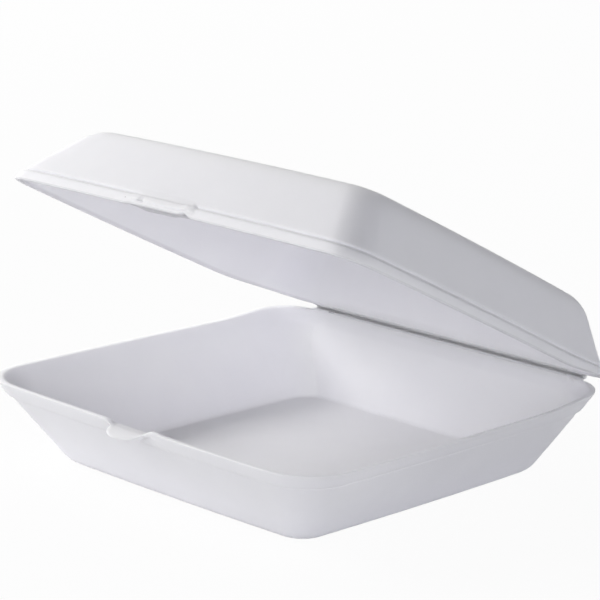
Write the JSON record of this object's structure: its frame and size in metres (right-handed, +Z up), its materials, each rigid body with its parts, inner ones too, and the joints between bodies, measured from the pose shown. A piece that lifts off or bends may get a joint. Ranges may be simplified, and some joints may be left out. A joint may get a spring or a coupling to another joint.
{
  "type": "foam clamshell container",
  "caption": "Hinged foam food container with a flared tray, a lid on a pressed fold line, a front tongue and a closure slot in the lid's band.",
  "frame": {"origin": "on the standing face under the tray, below the middle of the tray rim", "axes": "+Z up from the standing face, -Y towards the tongue at the front, +Y towards the fold line, +X to the right seen from the front"},
  "size_m": [0.237, 0.2321, 0.1625],
  "materials": {
    "foam": "smooth white foam skin"
  },
  "bodies": {
    "tray": {"tray": "foam"},
    "lid": {"lid": "foam"}
  },
  "joints": [
    {"name": "lid_hinge", "type": "hinge", "parent": "tray", "child": "lid", "pos_m": [0, 0.1115, 0.04565], "axis": [-1, 0, 0], "range_deg": [-25.35, 154.65]}
  ]
}
